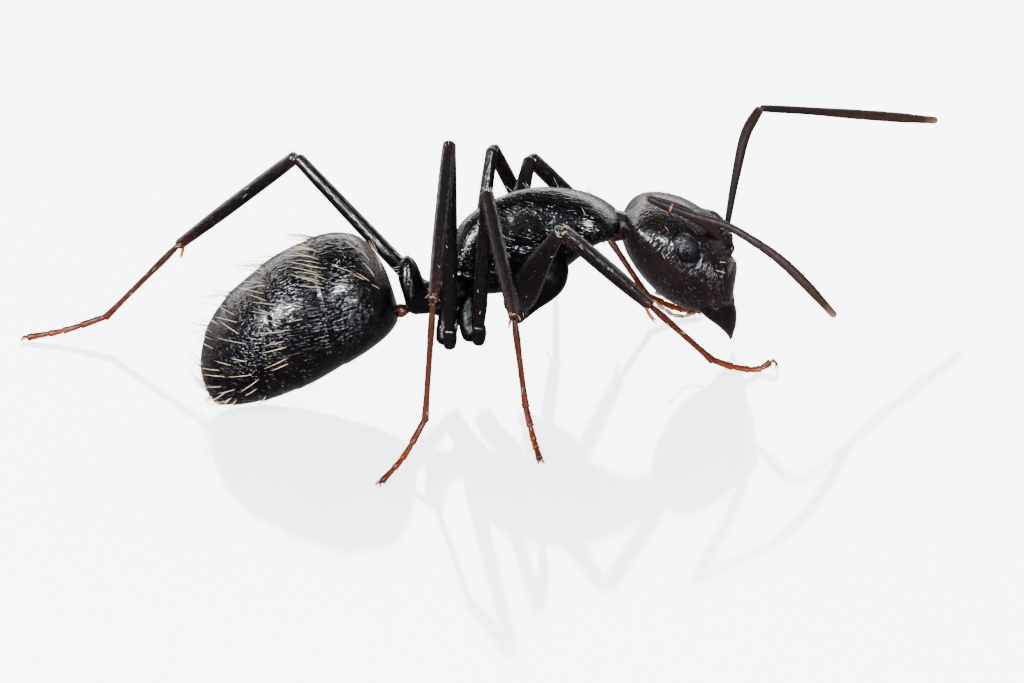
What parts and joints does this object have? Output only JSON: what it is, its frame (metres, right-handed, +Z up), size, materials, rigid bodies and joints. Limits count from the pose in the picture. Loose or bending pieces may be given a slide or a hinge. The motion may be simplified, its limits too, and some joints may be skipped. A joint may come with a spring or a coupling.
{
  "type": "carpenter ant",
  "caption": "Life-size still model of a black carpenter ant worker standing on its feet, head bent down and feelers raised, as shown in a museum.",
  "frame": {"origin": "middle of the plan outline, on the floor that the six feet stand on", "axes": "+X forward, from the gaster to the head; +Y to the ant's left; +Z up"},
  "size_m": [0.0194, 0.0128, 0.0057],
  "materials": {
    "shell": "satin",
    "jaws": "satin",
    "eyes": "satin",
    "feelers": "satin",
    "legs": "satin",
    "feet": "satin"
  },
  "bodies": {
    "root": {"head": "shell", "thorax": "shell", "petiole": "shell", "gaster": "shell", "eye_right": "eyes", "mandible_right": "jaws", "scape_right": "feelers", "flagellum_right": "feelers", "eye_left": "eyes", "mandible_left": "jaws", "scape_left": "feelers", "flagellum_left": "feelers", "coxa_front_right": "shell", "femur_front_right": "legs", "tibia_front_right": "legs", "tarsus_front_right": "feet", "coxa_front_left": "shell", "femur_front_left": "legs", "tibia_front_left": "legs", "tarsus_front_left": "feet", "coxa_middle_right": "shell", "femur_middle_right": "legs", "tibia_middle_right": "legs", "tarsus_middle_right": "feet", "coxa_middle_left": "shell", "femur_middle_left": "legs", "tibia_middle_left": "legs", "tarsus_middle_left": "feet", "coxa_hind_right": "shell", "femur_hind_right": "legs", "tibia_hind_right": "legs", "tarsus_hind_right": "feet", "coxa_hind_left": "shell", "femur_hind_left": "legs", "tibia_hind_left": "legs", "tarsus_hind_left": "feet"}
  },
  "joints": []
}
